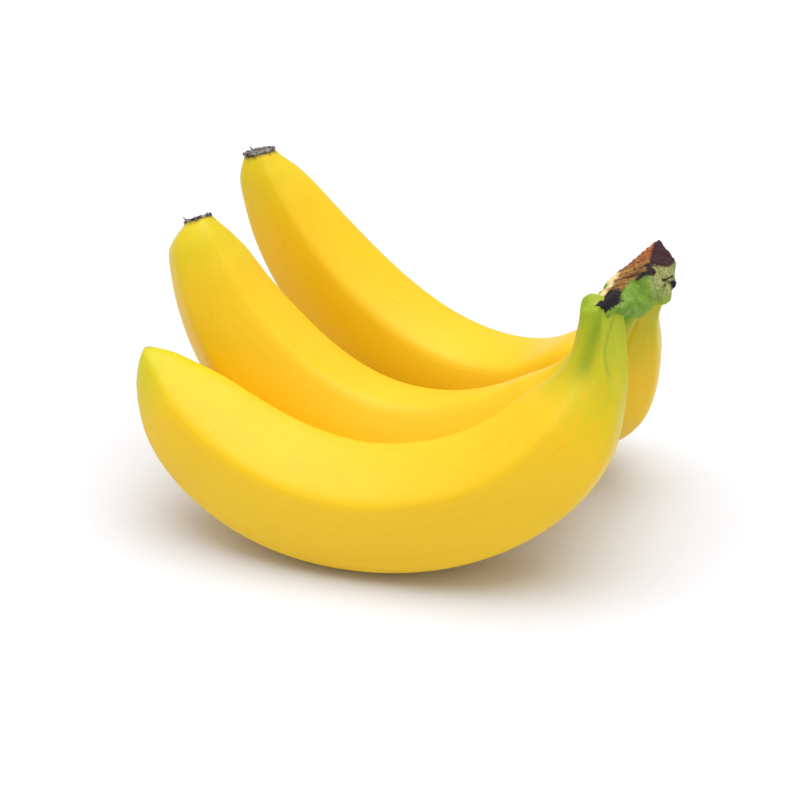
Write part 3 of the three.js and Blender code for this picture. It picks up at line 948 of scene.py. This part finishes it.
# %% Crown material
def crown_material():
    material, tree = new_material("cut_and_dried_stem_tissue")
    place = add(tree, "ShaderNodeTexCoord").outputs["Object"]
    marks = {key: add(tree, "ShaderNodeAttribute", attribute_name=key).outputs["Fac"]
             for key in FINISHES}

    # Streaks are 8 mm long in X, 1.4 mm wide and 2.9 mm high, and the grain is 0.5 mm. The node scales
    # first, so its turn doesn't turn the streaks, and only picks other ones
    turned = add(tree, "ShaderNodeMapping", {"Vector": place, "Scale": (120, 700, 350),
                                             "Rotation": (0, 0, math.radians(-CROWN_HEADING))})
    streaks = add(tree, "ShaderNodeTexNoise", {"Vector": turned.outputs[0], "Scale": 1, "Detail": 4})
    grain = add(tree, "ShaderNodeTexNoise", {"Vector": place, "Scale": 1900, "Detail": 5})

    # Green living skin, yellower near the stalks and tan where it has aged
    mottle = add(tree, "ShaderNodeMix", {"Factor": 0.35, 2: streaks.outputs["Fac"],
                                         3: grain.outputs["Fac"]})
    skin = add(tree, "ShaderNodeValToRGB", {"Fac": mottle.outputs[0]})
    skin.color_ramp.elements[0].position, skin.color_ramp.elements[0].color = 0.3, colour("#5A8220")
    skin.color_ramp.elements[1].position, skin.color_ramp.elements[1].color = 0.78, colour("#A0B468")
    skin.color_ramp.elements.new(0.52).color = colour("#769A30")

    tan = add(tree, "ShaderNodeValToRGB", {"Fac": grain.outputs["Fac"]})
    tan.color_ramp.elements[0].position, tan.color_ramp.elements[0].color = 0.38, colour("#7B7A3A")
    tan.color_ramp.elements[1].position, tan.color_ramp.elements[1].color = 0.6, colour("#C2B884")
    yellow = add(tree, "ShaderNodeMix", {"Factor": marks["stalk"], 6: skin.outputs[0],
                                         7: colour("#A3B81B")}, data_type="RGBA")
    weak = add(tree, "ShaderNodeMath", {0: marks["aged"], 1: 0.75}, operation="MULTIPLY")
    aged = add(tree, "ShaderNodeMix", {"Factor": weak.outputs[0], 6: yellow.outputs[2],
                                       7: tan.outputs[0]}, data_type="RGBA")

    # The cut: cream when fresh, then brown, and orange towards the far end
    fresh = add(tree, "ShaderNodeMix", {"Factor": streaks.outputs["Fac"], 6: colour("#F8EAB8"),
                                        7: colour("#D9B66E")}, data_type="RGBA")
    old = add(tree, "ShaderNodeValToRGB", {"Fac": mottle.outputs[0]})
    old.color_ramp.elements[0].position, old.color_ramp.elements[0].color = 0.38, colour("#2E1A0E")
    old.color_ramp.elements[1].position, old.color_ramp.elements[1].color = 0.66, colour("#C79A55")
    old.color_ramp.elements.new(0.5).color = colour("#90652A")
    rust = add(tree, "ShaderNodeValToRGB", {"Fac": grain.outputs["Fac"]})
    rust.color_ramp.elements[0].position, rust.color_ramp.elements[0].color = 0.36, colour("#4A1D0E")
    rust.color_ramp.elements[1].position, rust.color_ramp.elements[1].color = 0.66, colour("#C9763A")
    dried = add(tree, "ShaderNodeMix", {"Factor": marks["orange"], 6: old.outputs[0],
                                        7: rust.outputs[0]}, data_type="RGBA")
    cut = add(tree, "ShaderNodeMix", {"Factor": marks["browned"], 6: fresh.outputs[2],
                                      7: dried.outputs[2]}, data_type="RGBA")
    with_cut = add(tree, "ShaderNodeMix", {"Factor": marks["cut"], 6: aged.outputs[2],
                                           7: cut.outputs[2]}, data_type="RGBA")

    # The leathery cap, and char
    leather = add(tree, "ShaderNodeMix", {"Factor": streaks.outputs["Fac"], 6: colour("#1C0A0E"),
                                          7: colour("#4A2228")}, data_type="RGBA")
    with_cap = add(tree, "ShaderNodeMix", {"Factor": marks["cap"], 6: with_cut.outputs[2],
                                           7: leather.outputs[2]}, data_type="RGBA")
    char = add(tree, "ShaderNodeMix", {"Factor": grain.outputs["Fac"], 6: colour("#080607"),
                                       7: colour("#332B2D")}, data_type="RGBA")
    with_char = add(tree, "ShaderNodeMix", {"Factor": marks["charred"], 6: with_cap.outputs[2],
                                            7: char.outputs[2]}, data_type="RGBA")

    relief = add(tree, "ShaderNodeMath", {0: streaks.outputs["Fac"], 1: grain.outputs["Fac"]},
                 operation="ADD")
    bump = add(tree, "ShaderNodeBump", {"Height": relief.outputs[0], "Strength": 0.6, "Distance": 0.0004})
    surface = add(tree, "ShaderNodeBsdfPrincipled", {
        "Base Color": with_char.outputs[2], "Roughness": 0.7, "Specular IOR Level": 0.25,
        "Normal": bump.outputs[0], "Subsurface Weight": 0.06, "Subsurface Radius": (0.6, 1.0, 0.2),
        "Subsurface Scale": 0.001})
    add(tree, "ShaderNodeOutputMaterial", {"Surface": surface.outputs[0]})
    return material


crown_skin = crown_material()
crown = finished(crown_mesh, "crown_skin", crown_skin)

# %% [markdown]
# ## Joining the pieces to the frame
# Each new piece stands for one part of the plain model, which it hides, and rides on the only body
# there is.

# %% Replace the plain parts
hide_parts("crown")
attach(crown, "root")
for name in BANANAS:
    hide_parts("banana_" + name)
    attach(bananas[name], "root")
    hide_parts("blossom_end_" + name)
    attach(blossom_ends[name], "root")
print("replaced", 1 + 2 * len(BANANAS), "parts")

# %% [markdown]
# ## Studio
# The photograph is a packshot: a white table without an edge, soft light from above and a faint
# shadow under the fruit. A large pale floor, one big lamp overhead, and a white world that is
# brighter overhead than at the horizon give that.

# %% Floor, world and lamp
# In metres and watts
FLOOR_HALF = 6
LAMP_PLACE = Vector((0.1, -0.15, 2.2))
LAMP_SIDE = 2.4
LAMP_POWER = 43


def studio():
    floor_mesh = bmesh.new()
    bmesh.ops.create_grid(floor_mesh, x_segments=1, y_segments=1, size=FLOOR_HALF)
    data = bpy.data.meshes.new("floor")
    floor_mesh.to_mesh(data)
    floor_mesh.free()
    floor = bpy.data.objects.new("floor", data)
    bpy.context.scene.collection.objects.link(floor)
    material, tree = new_material("white_paper_sweep")
    paper = add(tree, "ShaderNodeBsdfPrincipled", {"Base Color": colour("#E6E8EE"), "Roughness": 0.9,
                                                   "Specular IOR Level": 0.1})
    add(tree, "ShaderNodeOutputMaterial", {"Surface": paper.outputs[0]})
    data.materials.append(material)

    world = bpy.data.worlds.new("white room")
    world.use_nodes = True
    sky = world.node_tree
    direction = add(sky, "ShaderNodeTexCoord").outputs["Generated"]
    height = add(sky, "ShaderNodeSeparateXYZ", {"Vector": direction}).outputs["Z"]
    strength = add(sky, "ShaderNodeMapRange", {"Value": height, "From Min": 0.0, "From Max": 0.8,
                                               "To Min": 0.35, "To Max": 0.8})
    sky.links.new(strength.outputs[0], sky.nodes["Background"].inputs["Strength"])
    sky.nodes["Background"].inputs["Color"].default_value = (1, 1, 1, 1)
    bpy.context.scene.world = world
    bpy.context.scene.view_settings.view_transform = "Standard"

    lamp = bpy.data.lights.new("key", "AREA")
    lamp.size = LAMP_SIDE
    lamp.energy = LAMP_POWER
    holder = bpy.data.objects.new("key", lamp)
    holder.location = LAMP_PLACE
    holder.rotation_euler = (-LAMP_PLACE).to_track_quat("-Z", "Y").to_euler()
    bpy.context.scene.collection.objects.link(holder)
    print("floor and a lamp of", LAMP_POWER, "W")


studio()

# %% [markdown]
# ## Camera
# The photograph looks down at 27 degrees through a long lens, from about 80 cm. These numbers come
# from matching the outlines of the three bananas.

# %% Place the camera
# In mm and degrees
CAMERA_TARGET = Vector((-1.3, -22.3, 41.3))
CAMERA_DISTANCE = 805
CAMERA_DOWN = 26.87
CAMERA_LENS = 124.3
SENSOR_WIDTH = 36


def place_camera():
    down = math.radians(CAMERA_DOWN)
    looking = Vector((0, math.cos(down), -math.sin(down)))
    camera_data = bpy.data.cameras.new("camera")
    camera_data.sensor_width = SENSOR_WIDTH
    camera_data.lens = CAMERA_LENS
    camera = bpy.data.objects.new("camera", camera_data)
    camera.location = (CAMERA_TARGET - looking * CAMERA_DISTANCE) * MM
    camera.rotation_euler = (math.radians(90) - down, 0, 0)
    bpy.context.scene.collection.objects.link(camera)
    bpy.context.scene.camera = camera
    print("camera at", [round(c, 3) for c in camera.location])


place_camera()
